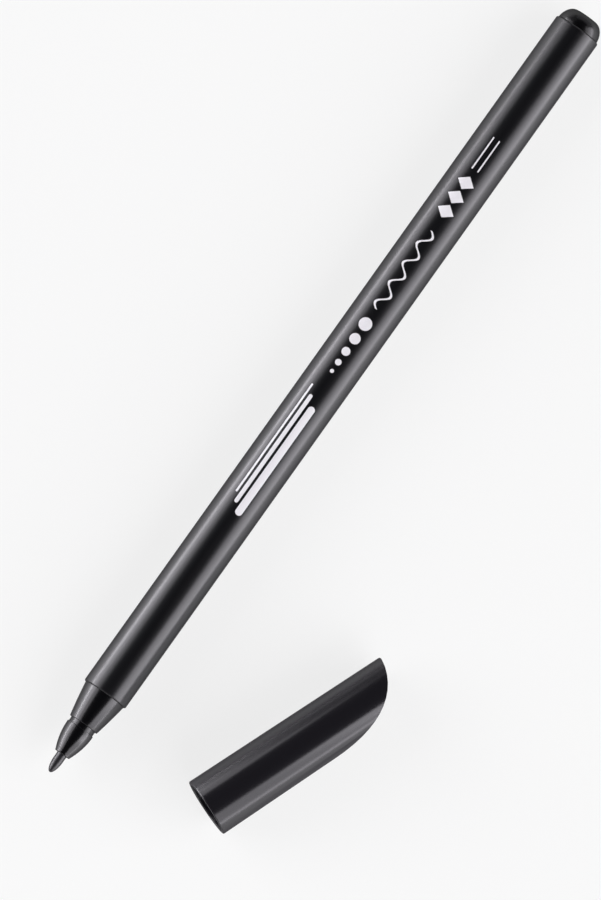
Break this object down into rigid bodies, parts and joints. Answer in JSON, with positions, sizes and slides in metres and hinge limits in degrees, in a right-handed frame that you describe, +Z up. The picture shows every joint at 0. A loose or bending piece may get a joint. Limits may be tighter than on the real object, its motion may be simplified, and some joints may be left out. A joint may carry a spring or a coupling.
{
  "type": "fibre-tip marker pen",
  "caption": "Slim round fibre-tip marker pen lying uncapped, with a snapped-in nose section and tail plug, and a clipless cap with a slanted end lying beside it.",
  "frame": {"origin": "on the table, at the middle of the footprint that the pen and its cap take up together", "axes": "+X along the cap, from its mouth towards its slanted end; the pen lies 20.9 degrees from +X towards +Y, with its nib at the -X end and its tail at the +X end; +Z up from the table"},
  "size_m": [0.1452, 0.0826, 0.0104],
  "materials": {
    "barrel_plastic": "satin",
    "nose_plastic": "gloss",
    "plug_plastic": "gloss",
    "cap_plastic": "gloss",
    "nib_fibre": "matte",
    "reservoir_fibre": "matte",
    "film": "gloss",
    "seal_plastic": "matte"
  },
  "bodies": {
    "pen": {"barrel": "barrel_plastic", "nose_section": "nose_plastic", "nib": "nib_fibre", "reservoir_core": "reservoir_fibre", "reservoir_film": "film", "tail_plug": "plug_plastic"},
    "cap": {"cap_shell": "cap_plastic", "cap_inner_seal": "seal_plastic"}
  },
  "joints": [
    {"name": "cap_slide", "type": "slide", "parent": "pen", "child": "cap", "axis": [1, 0, 0], "range_m": [0, 0.0273]}
  ]
}
